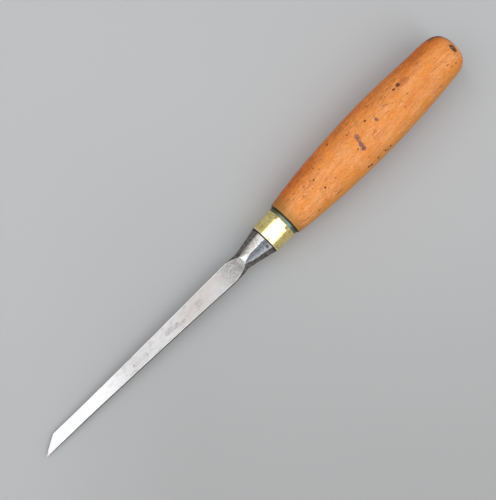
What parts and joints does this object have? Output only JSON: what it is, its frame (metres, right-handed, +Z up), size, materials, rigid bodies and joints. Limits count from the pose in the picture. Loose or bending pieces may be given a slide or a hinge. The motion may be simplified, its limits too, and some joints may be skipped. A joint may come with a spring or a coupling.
{
  "type": "lino cutter",
  "caption": "Hand cutter for lino and wood blocks: a long flat blade with a skewed edge, eight-sided bolster, brass ferrule and turned wooden handle.",
  "frame": {"origin": "on the table under the middle of the tool's overall box, with the tool lying down as it is put aside, resting on the handle's belly and the two corners of the blade's underside near the tip", "axes": "+X along the tool on the table, from the blade's point to the handle's butt; +Y to the side that the blade's back corner is on; +Z up, away from the table. The tool's own axis rises 3.82 degrees towards the butt, and the blade's flat face is up."},
  "size_m": [0.2676, 0.026, 0.0279],
  "materials": {
    "steel": "ground and worn bright on the flat face, dark forge scale on the bolster's side flats",
    "brass": "hand-worn polish with green verdigris at the rear edge",
    "handle_wood": "old varnished hardwood, satin, with dents and dark stains"
  },
  "bodies": {
    "root": {"blade": "steel", "ferrule": "brass", "handle": "handle_wood"}
  },
  "joints": []
}
